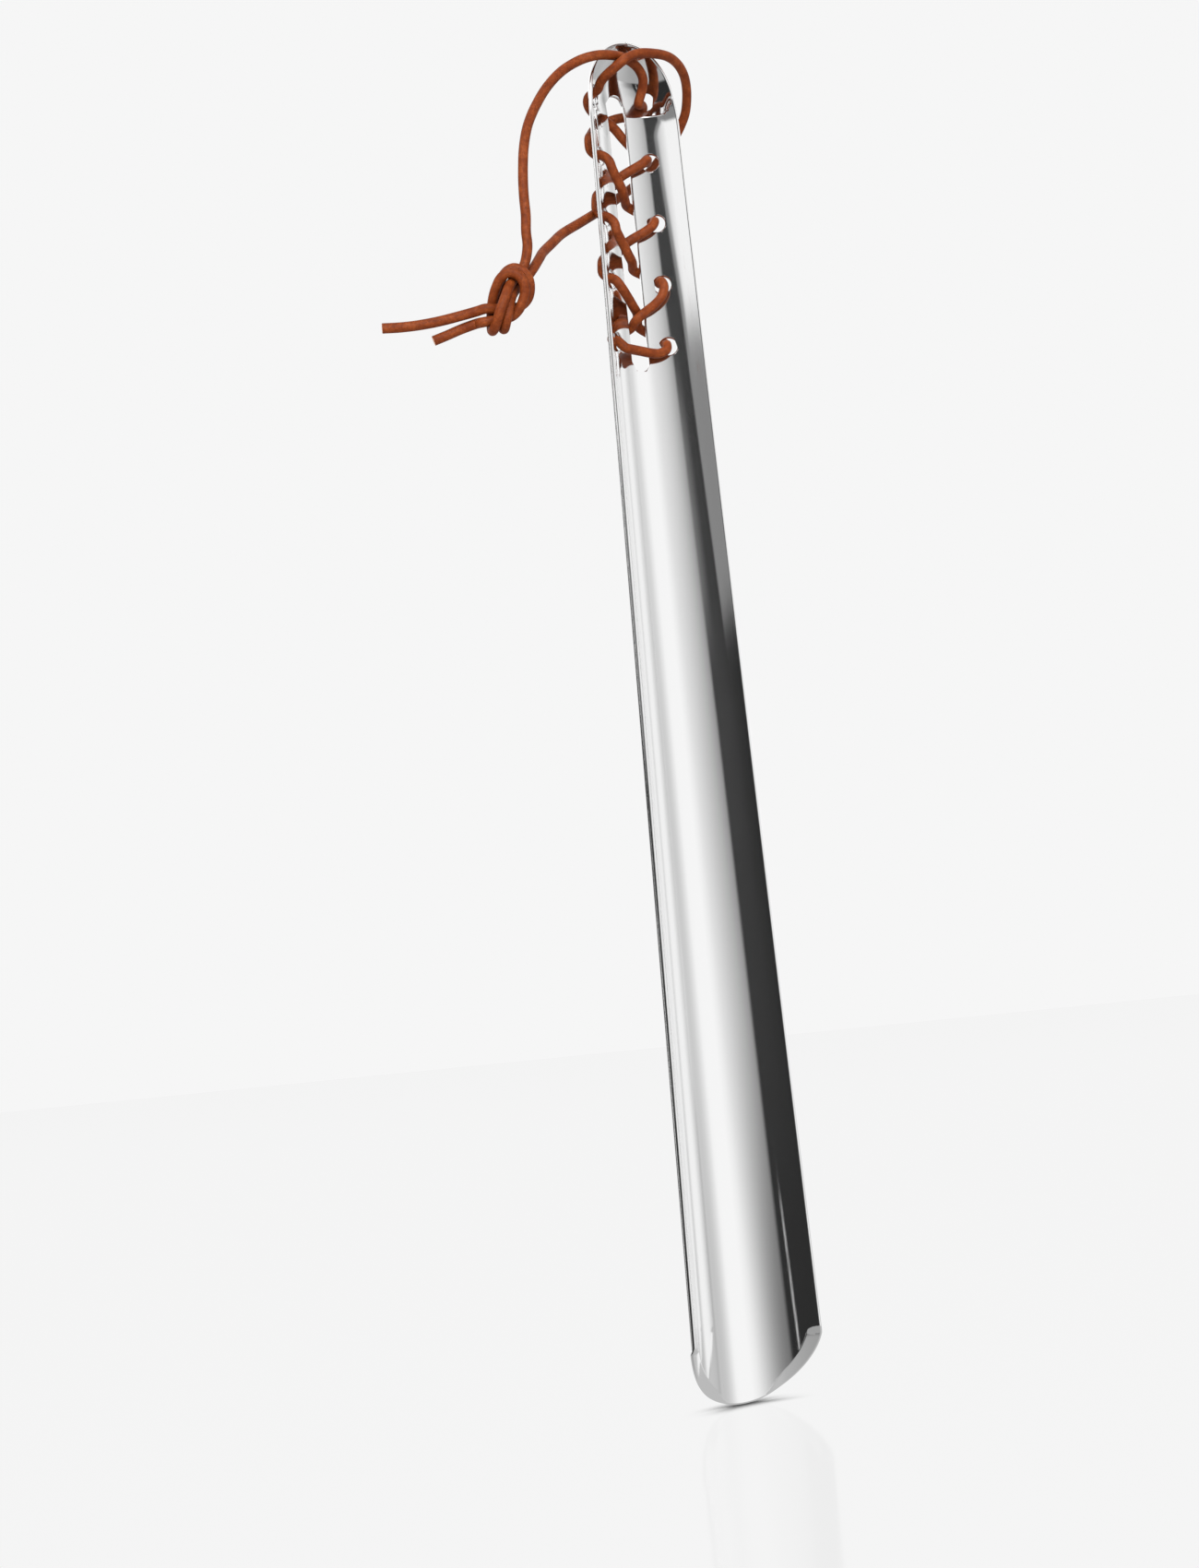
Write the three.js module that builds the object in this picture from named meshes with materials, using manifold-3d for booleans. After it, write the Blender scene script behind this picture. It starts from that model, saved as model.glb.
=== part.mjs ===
// A long shoehorn: a pressed steel trough with a laced handle, and the round leather lace that is its
// grip and its hanging loop. Millimetres, +Z up along the trough, tip down, open side towards -Y.
// The origin is in the middle of the grip, in the plane of the trough's two long edges.
import * as THREE from 'three';
import Module from 'manifold-3d';
import { mergeVertices } from 'three/addons/utils/BufferGeometryUtils.js';

const wasm = await Module();
wasm.setup();

// The steel body
const TOP = 60; // height of the upper end
const LENGTH = 420;
const TIP = TOP - LENGTH;
const SHEET = 1.2; // sheet thickness
const DEPTH = 11; // how deep the trough is inside
const HANDLE_HALF = 15.6; // half the inside width at the upper end
const TIP_HALF = 22.95; // half the inside width at the tip
const WIDENING = 1.26; // how late along the length the trough gets wide
const STEEPEST = (58 * Math.PI) / 180; // the section's arc goes no steeper, and runs on straight
const INNER_TOP = TOP - SHEET;
const CLOSED = 0.05; // width and depth of the section where it has closed
const DOME = 26; // length over which the upper end's outline closes
const DOME_START = INNER_TOP - DOME;
const DOME_POWER = 2.3; // roundness of the upper end's outline
const DISH_START = 39.8; // where the dished end is pressed deeper than the trough
const DISH_STEP = 0.5; // how much deeper
const DISH_RAMP = 5; // the height over which it gets deeper
const DISH_RISE = 2.2; // how much higher the dish starts at the trough's edges
const DISH_POWER = 2.2; // roundness of the dish
const TIP_ROUND = 21.5; // height of the tip's half-ellipse
const ROUND_TOP = TIP + TIP_ROUND;
const OUTLINE_HALF = 23.8; // half the width of the tip's half-ellipse
const LIP = 0.84; // where the lip starts, as a share of the half-ellipse
const LIP_RISE = 1; // how far the lip flares outwards
const LIP_TOP = [0.07, 0.16]; // the lip's upper ends fade in over this part of the half-ellipse

// The slot and the five pairs of holes
const SLOT_WIDTH = 6;
const SLOT_TOP = 46.5;
const SLOT_BOTTOM = -43.5;
const HOLE = 5.4; // hole diameter
const HOLE_TOP = 44.5; // height of the first pair
const PITCH = 20;
const ROWS = 5;
const HOLE_ARC = 9.8; // from the middle to a hole's centre, along the sheet

// The lace
const LACE = 3;
const LACE_SIDES = 8;

const COLOURS = { steel: 0xc9cacc, leather: 0xa0552f };

// How much of its full size a dimension has as it closes, rounded, towards the top
function closing(z, start, power) {
  const share = (z - start) / (INNER_TOP - start);
  return share <= 0 ? 1 : Math.max(0, 1 - share ** power) ** (1 / power);
}

// The section at a height: an arc about the middle, with a straight side at each end of it where the
// arc would get too steep. `length` is the distance from the middle to the edge, along the sheet.
function section(z) {
  const widened = HANDLE_HALF + (TIP_HALF - HANDLE_HALF) * (Math.max(0, TOP - z) / LENGTH) ** WIDENING;
  const half = Math.max(CLOSED, widened * closing(z, DOME_START, DOME_POWER));
  const depth = Math.max(CLOSED, DEPTH * closing(z, DISH_START + DISH_RAMP, DISH_POWER));
  const whole = 2 * Math.atan(depth / half);
  const angle = Math.min(whole, STEEPEST);
  const steep = whole > STEEPEST;
  const radius = steep
    ? (half - depth / Math.tan(STEEPEST)) / Math.tan(STEEPEST / 2)
    : (half * half + depth * depth) / (2 * depth);
  const side = steep ? (depth - radius * (1 - Math.cos(angle))) / Math.sin(angle) : 0;
  return { depth, radius, angle, length: radius * angle + side };
}

// How far the lip bends the sheet outwards at a point of the section
function lipRise(x, z) {
  const up = (ROUND_TOP - z) / TIP_ROUND;
  const level = Math.hypot(x / OUTLINE_HALF, Math.max(0, up));
  return (Math.max(0, level - LIP) / (1 - LIP)) * LIP_RISE * THREE.MathUtils.smoothstep(up, ...LIP_TOP);
}

// How far the dished end lies outside the trough's own section. The dish starts in a crease that rises
// towards the edges.
function dishStep(turn, z) {
  const start = DISH_START + DISH_RISE * THREE.MathUtils.smoothstep(turn, STEEPEST / 2, STEEPEST);
  const up = THREE.MathUtils.clamp((z - start) / DISH_RAMP, 0, 1);
  return DISH_STEP * up * (2 - up);
}

// A point of the sheet: its distance from the middle along the section, its height, and its distance
// out from the inner face
function wallPoint(arc, z, out) {
  const { depth, radius, angle } = section(z);
  const along = Math.min(Math.abs(arc), radius * angle);
  const turn = along / radius;
  const beyond = Math.abs(arc) - along;
  const bare = radius * Math.sin(turn) + beyond * Math.cos(turn);
  const reach = out + lipRise(bare, z) + dishStep(turn, z);
  const x = bare + reach * Math.sin(turn);
  const y = depth - radius * (1 - Math.cos(turn)) - beyond * Math.sin(turn) + reach * Math.cos(turn);
  return new THREE.Vector3(Math.sign(arc) * x, y, z);
}

// The heights of the trough's rows of points, closer together at the tip and in the dished end
function rowHeights() {
  const below = TIP - 2;
  const tipTop = ROUND_TOP + 4;
  const spans = [
    [below, tipTop, 12],
    [tipTop, DOME_START, 14],
    [DOME_START, DISH_START, 3],
    [DISH_START, DISH_START + DISH_RAMP, 3],
  ];
  const heights = [];
  for (const [from, to, rows] of spans) {
    for (let i = 0; i < rows; i++) heights.push(from + ((to - from) * i) / rows);
  }
  const dishRows = 9;
  const dishStart = DISH_START + DISH_RAMP;
  for (let i = 0; i < dishRows; i++) {
    heights.push(dishStart + (INNER_TOP - dishStart) * Math.sin((Math.PI / 2) * (i / dishRows)));
  }
  return heights;
}

// The trough as one closed body: an inner and an outer grid of points that share their rims and
// meet at the top of the dished end.
function troughGeometry() {
  const columns = 18;
  const heights = rowHeights();
  const points = [];
  const faces = [];
  for (const out of [0, SHEET]) {
    for (const z of heights) {
      const { length } = section(z);
      for (let i = 0; i <= columns; i++) {
        points.push(wallPoint(length * ((2 * i) / columns - 1), z, out));
      }
    }
  }
  const row = columns + 1;
  const layer = row * heights.length;
  const last = heights.length - 1;
  const innerPole = points.push(new THREE.Vector3(0, 0, INNER_TOP)) - 1;
  const outerPole = points.push(new THREE.Vector3(0, 0, TOP)) - 1;
  const quad = (a, b, c, d) => faces.push(a, b, c, a, c, d);
  for (let j = 0; j < last; j++) {
    for (let i = 0; i < columns; i++) {
      const a = j * row + i;
      quad(a, a + 1, a + row + 1, a + row);
      quad(layer + a, layer + a + row, layer + a + row + 1, layer + a + 1);
    }
    const left = j * row;
    const right = left + columns;
    quad(left, left + row, layer + left + row, layer + left);
    quad(right, layer + right, layer + right + row, right + row);
  }
  for (let i = 0; i < columns; i++) {
    const top = last * row + i;
    faces.push(top, top + 1, innerPole);
    faces.push(layer + top, outerPole, layer + top + 1);
    quad(i, layer + i, layer + i + 1, i + 1);
  }
  const left = last * row;
  const right = left + columns;
  quad(left, innerPole, outerPole, layer + left);
  quad(right, layer + right, outerPole, innerPole);
  const geometry = new THREE.BufferGeometry().setFromPoints(points);
  geometry.setIndex(faces);
  return geometry;
}

function toSolid(geometry) {
  const bare = new THREE.BufferGeometry();
  bare.setAttribute('position', geometry.getAttribute('position'));
  bare.setIndex(geometry.getIndex());
  const merged = mergeVertices(bare, 1e-4);
  return new wasm.Manifold(
    new wasm.Mesh({
      numProp: 3,
      vertProperties: new Float32Array(merged.attributes.position.array),
      triVerts: new Uint32Array(merged.index.array),
    }),
  );
}

function toGeometry(solid) {
  const mesh = solid.getMesh();
  const geometry = new THREE.BufferGeometry();
  geometry.setAttribute('position', new THREE.BufferAttribute(mesh.vertProperties, 3));
  geometry.setIndex(new THREE.BufferAttribute(mesh.triVerts, 1));
  geometry.computeVertexNormals();
  return geometry;
}

// A flat outline in X and Z, made into a block from one depth along Y to another
function block(shape, nearY, farY, curveSegments) {
  const depth = farY - nearY;
  const geometry = new THREE.ExtrudeGeometry(shape, { depth, bevelEnabled: false, curveSegments });
  geometry.rotateX(Math.PI / 2);
  geometry.translate(0, farY, 0);
  return toSolid(geometry);
}

// Everything above the tip's rounded outline
function tipKeeper() {
  const side = 2 * TIP_HALF;
  const shape = new THREE.Shape();
  shape.moveTo(-side, TOP + side);
  shape.lineTo(-side, ROUND_TOP);
  shape.lineTo(-OUTLINE_HALF, ROUND_TOP);
  shape.absellipse(0, ROUND_TOP, OUTLINE_HALF, TIP_ROUND, Math.PI, 2 * Math.PI, false);
  shape.lineTo(side, ROUND_TOP);
  shape.lineTo(side, TOP + side);
  return block(shape, -4 * DEPTH, 4 * DEPTH, 28);
}

// The slot is cut straight through along Y
function slotCutter() {
  const r = SLOT_WIDTH / 2;
  const shape = new THREE.Shape();
  shape.absarc(0, SLOT_TOP - r, r, 0, Math.PI, false);
  shape.absarc(0, SLOT_BOTTOM + r, r, Math.PI, 2 * Math.PI, false);
  return block(shape, 0, 2 * DEPTH, 12);
}

// A round punch that goes through the sheet at right angles to it
function holeCutter(side, z) {
  const inside = wallPoint(side * HOLE_ARC, z, -2 * SHEET);
  const outside = wallPoint(side * HOLE_ARC, z, 3 * SHEET);
  const along = outside.clone().sub(inside);
  const cutter = new THREE.CylinderGeometry(HOLE / 2, HOLE / 2, along.length(), 20);
  const upright = new THREE.Vector3(0, 1, 0);
  cutter.applyQuaternion(new THREE.Quaternion().setFromUnitVectors(upright, along.normalize()));
  const middle = inside.add(outside).multiplyScalar(0.5);
  cutter.translate(middle.x, middle.y, middle.z);
  return toSolid(cutter);
}

function steelGeometry() {
  let solid = toSolid(troughGeometry()).intersect(tipKeeper()).subtract(slotCutter());
  for (let row = 0; row < ROWS; row++) {
    for (const side of [-1, 1]) solid = solid.subtract(holeCutter(side, HOLE_TOP - row * PITCH));
  }
  return toGeometry(solid);
}

// The laced grip, with the pairs of holes counted from the top. Each point is the distance from the
// middle along the sheet (left of it below zero), the drop below the holes that the strand starts
// from, and the distance out from the inner face. At the upper crossing both strands pass behind the
// sheet. At the others one strand passes over the other, and both dive through the slot.
const FAR_BEHIND = [
  [9.1, 1.1, 2],
  [8.4, 2, 3.2],
  [6.2, 2.5, 4],
  [3, 2.9, 4.9],
  [0.2, 4.2, 5.8],
  [-2.6, 6.4, 6],
  [-5.6, 9.2, 4.6],
  [-8.6, 12, 3.3],
  [-10.8, 14, 2.9],
  [-11.5, 15.9, 2.8],
  [-10.8, 17.7, 2.9],
  [-10.1, 19.1, 1.9],
];
const NEAR_BEHIND = [
  [-9.9, 0.4, 1.8],
  [-9.7, 1.7, 2.5],
  [-8.5, 3.2, 2.8],
  [-5.6, 4.7, 2.9],
  [-1.1, 6.2, 2.8],
  [0.8, 7.8, 2.8],
  [2.9, 10.6, 2.9],
  [5.6, 14.2, 2.9],
  [7.5, 16.6, 2.9],
  [8.4, 18.1, 2.7],
  [8.9, 19.1, 1.9],
];
const OVER_2 = [
  [-9.5, 0.5, -1],
  [-9.5, 2.4, -2.6],
  [-8.6, 4.7, -3],
  [-6.4, 7.4, -3.2],
  [-3.7, 10, -3],
  [-1.4, 11.7, -1.6],
  [0.4, 12.6, 0.3],
  [1.8, 13.2, 2.3],
  [5, 15, 2.9],
  [8, 17.4, 2.8],
  [9.3, 18.9, 1.9],
];
const UNDER_2 = [
  [8.9, -0.7, -1],
  [7.7, 0.5, -2],
  [4.8, 2.1, -2.4],
  [1.4, 3.7, -2],
  [-0.6, 4.8, -1.2],
  [-1.4, 5.6, 0],
  [-1.4, 6.5, 1.5],
  [-2.3, 7.4, 2.9],
  [-4.8, 9, 3.2],
  [-7.6, 10.8, 3],
  [-9.6, 12.6, 2.8],
  [-10.4, 14.8, 2.8],
  [-10.3, 17.2, 2.9],
  [-10, 18.6, 2],
];
const OVER_3 = [
  [-9.6, 0.6, -1],
  [-9.8, 2.6, -2.5],
  [-9.6, 5, -2.8],
  [-8, 6.8, -3],
  [-5.4, 9.2, -3],
  [-3, 11.5, -2.6],
  [-0.3, 13, -1.1],
  [0.9, 13.7, 0.6],
  [1.9, 14.3, 2.3],
  [5, 15.7, 2.9],
  [8, 17.6, 2.8],
  [9.3, 18.9, 1.9],
];
const UNDER_3 = [
  [9.3, -0.4, -1],
  [8.4, 1.3, -2],
  [5.8, 3.1, -2.4],
  [2.6, 4.6, -2],
  [0.2, 5.8, -1.3],
  [-1.2, 6.8, -0.1],
  [-1.4, 7.8, 1.4],
  [-2.2, 8.7, 2.9],
  [-5, 10.4, 3.2],
  [-8, 12, 3],
  [-9.9, 13.6, 2.8],
  [-10.5, 15.6, 2.8],
  [-10.3, 17.4, 2.9],
  [-10, 18.7, 2],
];
const OVER_4 = [
  [9.5, -0.8, -1],
  [10.2, 1.4, -2],
  [9.1, 4.4, -2.3],
  [5.9, 7.3, -2.7],
  [2.3, 9.5, -3],
  [-0.4, 11.2, -2.8],
  [-1.5, 12.6, -1],
  [-1.3, 13.6, 0.8],
  [-2, 14.4, 2.5],
  [-5, 15.8, 3],
  [-8.2, 17.6, 2.8],
  [-9.8, 19.2, 1.9],
];
const UNDER_4 = [
  [-9.6, 0.6, -1],
  [-8.9, 2.8, -2.3],
  [-5.1, 5.7, -2.4],
  [-1.9, 7.9, -1.5],
  [0.4, 9.4, -0.1],
  [1.1, 11.2, 1.4],
  [1.9, 12.8, 2.6],
  [5, 14.8, 3],
  [8, 17.2, 2.8],
  [9.3, 18.9, 1.9],
];
const BAR = [
  [9.2, -0.2, -1],
  [8.8, 1.7, -2],
  [6.3, 2.9, -2.6],
  [3.4, 3.1, -3.1],
  [-2.2, 2.7, -3.2],
  [-6.7, 2.6, -2.8],
  [-9.4, 2.5, -2.2],
  [-9.7, 1.2, -1],
];

// Where a strand passes through a hole
const RIGHT_HOLE = [[8.9, -0.7, 0.6]];
const LEFT_HOLE = [[-9.7, -0.5, 0.6]];

// The grip's two ends, in the first pair of holes
const RIGHT_START = [[9, 0.7, 0.4]];
const LEFT_START = [[-9.7, -0.5, 0.5]];

// The free strands, from the hole that each one leaves to the knot, and the tails beyond the knot
const RIGHT_STRAND = [
  [6.2, 6.9, 43.2],
  [6.1, 5.6, 44.7],
  [6.3, 4.1, 46.9],
  [5.8, 2.5, 49.4],
  [3.7, 1.2, 51.7],
  [0.7, 0.2, 53.1],
  [-4.1, -1, 53.7],
  [-10.3, -2.2, 52.9],
  [-15, -2.4, 51.8],
  [-19.1, -0.9, 50.5],
  [-25.7, -0.6, 46.3],
  [-31.6, -0.8, 40.6],
  [-36.9, -1.6, 33.6],
  [-41.4, -2.6, 25.9],
  [-44.2, -3.7, 18.4],
  [-46, -4.7, 10],
  [-46.7, -5, 2.7],
  [-46.7, -5, -4.1],
  [-46.9, -4.6, -9],
  [-46.6, -4.1, -13.5],
  [-47.6, -2.9, -18.9],
];
const LEFT_STRAND = [
  [-9, 6.2, 45.6],
  [-9.3, 4.2, 46.7],
  [-9.1, 2.4, 47.5],
  [-8.4, 0.3, 48.4],
  [-7.1, -1.9, 49.6],
  [-4.8, -4, 51.5],
  [-0.5, -4.3, 53.8],
  [5.5, -3.7, 55.2],
  [13, -2, 56],
  [18.7, 0.8, 55.4],
  [22.8, 3.8, 53.5],
  [25.4, 6.8, 51.1],
  [26.9, 9.5, 48],
  [27.6, 12, 45],
  [27, 14.4, 41.6],
  [25.4, 16.6, 38],
  [20.9, 18.8, 31.7],
  [17.3, 19.5, 27.5],
  [12.9, 19.6, 23.6],
  [8.2, 19, 19.9],
  [3.3, 17.9, 16.4],
  [-0.8, 16.6, 13.6],
  [-5.8, 15, 10.2],
  [-10.6, 13.3, 7.1],
  [-17.7, 10.8, 2.6],
  [-26.4, 8, -2.9],
  [-32.2, 5, -7.6],
  [-37.4, 2.4, -12],
  [-40.3, 0.1, -15],
  [-43.8, -1.6, -19.1],
  [-45.8, -1.4, -22],
];
const LONG_TAIL = [
  [-60.7, 0.7, -32.5],
  [-62.1, 2.4, -32.6],
  [-66.5, 4, -33.8],
  [-70.9, 5.6, -34.9],
  [-75.2, 7.2, -35.8],
  [-79.5, 9, -36.4],
  [-83.6, 10.8, -36.7],
  [-88.4, 13, -36.7],
];
const SHORT_TAIL = [
  [-60.9, 2.2, -36],
  [-61.4, 4.2, -35.7],
  [-65.8, 6, -37.2],
  [-70.1, 7.8, -39],
  [-73.5, 9.6, -40.3],
];

// The knot is a plain block here
const KNOT_CENTRE = [-53.6, -1.6, -30.2];
const KNOT_HALF = [6.4, 5.6, 9.8];
const KNOT_LEAN = 0.35; // the knot's top leans towards +X
const KNOT_TURN = -0.55; // and the knot is turned about the upright

// The points of a strand that starts at a pair of holes
function onWall(way, row) {
  const start = HOLE_TOP - (row - 1) * PITCH;
  return way.map(([arc, drop, out]) => wallPoint(arc, start - drop, out));
}

// The whole grip, from the upper right hole down to the lowest pair and back up to the upper left hole
function gripPoints() {
  return [
    ...onWall(RIGHT_START, 1),
    ...onWall(FAR_BEHIND, 1),
    ...onWall(LEFT_HOLE, 2),
    ...onWall(OVER_2, 2),
    ...onWall(RIGHT_HOLE, 3),
    ...onWall(UNDER_3, 3),
    ...onWall(LEFT_HOLE, 4),
    ...onWall(UNDER_4, 4),
    ...onWall(RIGHT_HOLE, 5),
    ...onWall(BAR, 5),
    ...onWall(LEFT_HOLE, 5),
    ...onWall(OVER_4, 4).reverse(),
    ...onWall(RIGHT_HOLE, 4),
    ...onWall(OVER_3, 3).reverse(),
    ...onWall(LEFT_HOLE, 3),
    ...onWall(UNDER_2, 2).reverse(),
    ...onWall(RIGHT_HOLE, 2),
    ...onWall(NEAR_BEHIND, 1).reverse(),
    ...onWall(LEFT_START, 1),
  ];
}

// A round cord through the points, with a step about every so many millimetres
function cordGeometry(points, step) {
  const path = new THREE.CatmullRomCurve3(points, false, 'centripetal');
  path.arcLengthDivisions = 12 * points.length;
  const shape = new THREE.Shape();
  for (let i = 0; i <= LACE_SIDES; i++) {
    const turn = (2 * Math.PI * (i % LACE_SIDES)) / LACE_SIDES;
    const x = (LACE / 2) * Math.cos(turn);
    const y = (LACE / 2) * Math.sin(turn);
    if (i === 0) shape.moveTo(x, y);
    else shape.lineTo(x, y);
  }
  const steps = Math.ceil(path.getLength() / step);
  return new THREE.ExtrudeGeometry(shape, { steps, extrudePath: path, bevelEnabled: false });
}

function freeCord(points, step = 7) {
  return cordGeometry(points.map((point) => new THREE.Vector3(...point)), step);
}

function knotGeometry() {
  const knot = new THREE.SphereGeometry(1, 20, 12);
  knot.scale(...KNOT_HALF);
  knot.rotateY(KNOT_LEAN);
  knot.rotateZ(KNOT_TURN);
  knot.translate(...KNOT_CENTRE);
  return knot;
}

function part(name, geometry, colour, roughness, metalness) {
  const material = new THREE.MeshStandardMaterial({ color: colour, roughness, metalness });
  const mesh = new THREE.Mesh(geometry, material);
  mesh.name = name;
  return mesh;
}

function leather(name, geometry) {
  return part(name, geometry, COLOURS.leather, 0.6, 0);
}

const shoehorn = new THREE.Group();
shoehorn.add(
  part('steel_body', steelGeometry(), COLOURS.steel, 0.08, 1),
  leather('grip_lace', cordGeometry(gripPoints(), 1.8)),
  leather('loop_strand_right', freeCord(RIGHT_STRAND)),
  leather('loop_strand_left', freeCord(LEFT_STRAND)),
  leather('loop_knot', knotGeometry()),
  leather('lace_tail_long', freeCord(LONG_TAIL)),
  leather('lace_tail_short', freeCord(SHORT_TAIL)),
);

export default shoehorn;
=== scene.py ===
# A long shoehorn of polished steel sheet, with a round leather lace that is its laced grip and its
# hanging loop. Metres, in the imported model's frame: +Z up along the trough, tip down, open side to -Y.
import math

import bpy
import numpy as np
from mathutils import Matrix, Vector, noise
from mathutils.geometry import delaunay_2d_cdt


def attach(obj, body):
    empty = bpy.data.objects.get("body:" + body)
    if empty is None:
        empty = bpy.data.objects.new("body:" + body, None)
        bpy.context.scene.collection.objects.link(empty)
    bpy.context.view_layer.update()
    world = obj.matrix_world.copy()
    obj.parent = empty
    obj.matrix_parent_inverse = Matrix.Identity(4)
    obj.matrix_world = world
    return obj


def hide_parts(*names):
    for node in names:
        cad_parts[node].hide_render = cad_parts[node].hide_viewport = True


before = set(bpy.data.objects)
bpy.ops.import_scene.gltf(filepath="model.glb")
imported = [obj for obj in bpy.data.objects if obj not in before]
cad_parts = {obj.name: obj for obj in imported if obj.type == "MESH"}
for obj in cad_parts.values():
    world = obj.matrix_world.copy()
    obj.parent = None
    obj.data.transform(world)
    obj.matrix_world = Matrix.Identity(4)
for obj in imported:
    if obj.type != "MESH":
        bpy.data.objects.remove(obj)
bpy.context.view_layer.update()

MM = 0.001
BODY = "root"

# The camera
CAMERA_PLACE = (-0.38772, -0.56143, -0.24982)
CAMERA_TURN = -32.0  # degrees about the upright; 0 looks along +Y
CAMERA_TILT = 6.47  # degrees upwards
CAMERA_ROLL = -5.49
LENS = 52.14
SENSOR = 36.0

# The steel sheet, in millimetres
TOP = 60.0
LENGTH = 420.0
TIP = TOP - LENGTH
SHEET = 1.2
DEPTH = 11.0
HANDLE_HALF = 15.6
TIP_HALF = 22.95
WIDENING = 1.26  # above 1 the trough widens faster towards the tip
STEEPEST = math.radians(58)  # the section's arc goes no steeper, and runs on straight
INNER_TOP = TOP - SHEET
DOME = 26.0  # height of the upper end over which the sides close in
DOME_START = INNER_TOP - DOME
DOME_POWER = 2.3
DOME_SPINE = 31.0  # its length on the flat pattern
DISH_START = 39.8  # where the end's crease lies, in the middle
DISH_STEP = 0.5
DISH_RAMP = 5.0
DISH_POWER = 2.2
DISH_RISE = 3.0  # how much higher the crease lies at the rims
DISH_RISE_OVER = 4.0  # and over how wide a strip it rises
TIP_ROUND = 21.5
ROUND_TOP = TIP + TIP_ROUND
OUTLINE_HALF = 23.4
LIP = 0.84  # the share of the tip's outline from which the sheet flares
LIP_BLEND = 0.012  # half the width of the bend there
LIP_RISE = 1.0
LIP_TOP = (0.07, 0.16)  # shares down the tip between which the flare begins
LIP_FADE = (5.5, 13.5)  # distances from the middle between which it widens
SLOT_WIDTH = 6.0
SLOT_TOP = 46.5
SLOT_BOTTOM = -43.5
HOLE = 5.4
HOLE_TOP = 44.5  # height of the first row of holes
PITCH = 20.0
HOLE_ROWS = 5
HOLE_ARC = 9.8  # from the middle, along the section
EDGE_ROUND = 0.58  # rounding of the sheet's cut edges
EDGE_TURNS = (0, 22.5, 45, 67.5, 90)  # degrees at which the rounding has a row of points
THINNEST = 0.02  # the least half width and depth of the section, at the very top

# The steel's mesh, in millimetres on the flat pattern
TIP_POINTS = 241  # round the tip
DISH_POINTS = 46  # up each rim of the closing end
RIM_STEP = 1.5
RIM_GAPS = (0.8, 0.4)  # between the evenly spaced points of a rim and its lower and upper ends
SLOT_STEP = 1.2
SLOT_END_POINTS = 25
HOLE_POINTS = 41
CREASE_POINTS = 110
CREASE_ENDS = 0.03  # how far from the horizontal the creases stop, in radians
# Where the lip's creases run, as shares of the tip's outline, with the bend about the level LIP
CREASE_LEVELS = (
    0.78, 0.8, 0.815, LIP - LIP_BLEND, LIP - LIP_BLEND / 2, LIP, LIP + LIP_BLEND / 2, LIP + LIP_BLEND,
    0.88, 0.91, 0.94, 0.965,
)
PLAIN_BELOW = 0.77  # the level under which the tip has spread points and no creases
PLAIN_TOP = 0.14  # the share of the tip, at its top, that has them at every level
TIP_OUTSIDE = 1.2  # and the level beyond which none lie
FINE_ROW = 0.6
FINE_TO = ROUND_TOP + 3
COARSE_ROW = 1.5
POINT_STEP = 0.72
CLEAR_OF_RIM = 0.7
CLEAR_OF_EDGE = 0.62
CLEAR_OF_CREASE = 0.3
CREASE_CLEAR_OF_EDGE = 0.25
CREASE_CLEAR_OF_RIM = 0.2
NUDGE = 0.01  # the small step over which the sheet's direction is taken
WIDER = 1.3  # how far beyond the rim a point of the sheet is looked for, and in how many halvings
HALVINGS = 30
SHARPEST = 0.6  # limits how far the inset of a loop reaches at its corners

# The lace, in millimetres
LACE = 3.0
LACE_SIDES = 20
LACE_STEP = 0.55  # between two rings of points along it
LINE_PARTS = 24  # straight parts between two points of the lace's line
SWELL = 0.018  # how much the whole lace thickens and thins, as a share, and how often per millimetre
SWELL_OFTEN = 0.11
UNEVEN = 0.012  # the same for the lace's round
UNEVEN_OFTEN = 0.25
CUT_RINGS = ((0.95, 0.10), (0.6, 0.14))  # share of the radius, and how far beyond the lace's end
CUT_MIDDLE = 0.16
SIDE_AT_START = (0.3, 0.9, 0.1)  # any way that isn't along the lace at its first end
SWELL_SEED = (4.0, 1.0)

# The laced grip, with the pairs of holes counted from the top. Each point is the distance from the
# middle along the sheet (left of it below zero), the drop below the holes that the strand starts
# from, and the distance out from the sheet's inner face. At the upper crossing both strands pass
# behind the sheet. At the others one strand passes over the other and both dive through the slot.
FAR_BEHIND = (
    (9.1, 1.1, 2), (8.4, 2, 3.2), (6.2, 2.5, 4), (3, 2.9, 4.9), (0.2, 4.2, 5.8), (-2.6, 6.4, 6),
    (-5.6, 9.2, 4.6), (-8.6, 12, 3.3), (-10.8, 14, 2.9), (-11.5, 15.9, 2.8), (-10.8, 17.7, 2.9),
    (-10.1, 19.1, 1.9),
)
NEAR_BEHIND = (
    (-9.9, 0.4, 1.8), (-9.7, 1.7, 2.5), (-8.5, 3.2, 2.8), (-5.6, 4.7, 2.9), (-1.1, 6.2, 2.8),
    (0.8, 7.8, 2.8), (2.9, 10.6, 2.9), (5.6, 14.2, 2.9), (7.5, 16.6, 2.9), (8.4, 18.1, 2.7),
    (8.9, 19.1, 1.9),
)
OVER_2 = (
    (-9.5, 0.5, -1), (-9.5, 2.4, -2.6), (-8.6, 4.7, -3), (-6.4, 7.4, -3.2), (-3.7, 10, -3),
    (-1.4, 11.7, -1.6), (0.4, 12.6, 0.3), (1.8, 13.2, 2.3), (5, 15, 2.9), (8, 17.4, 2.8),
    (9.3, 18.9, 1.9),
)
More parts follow.
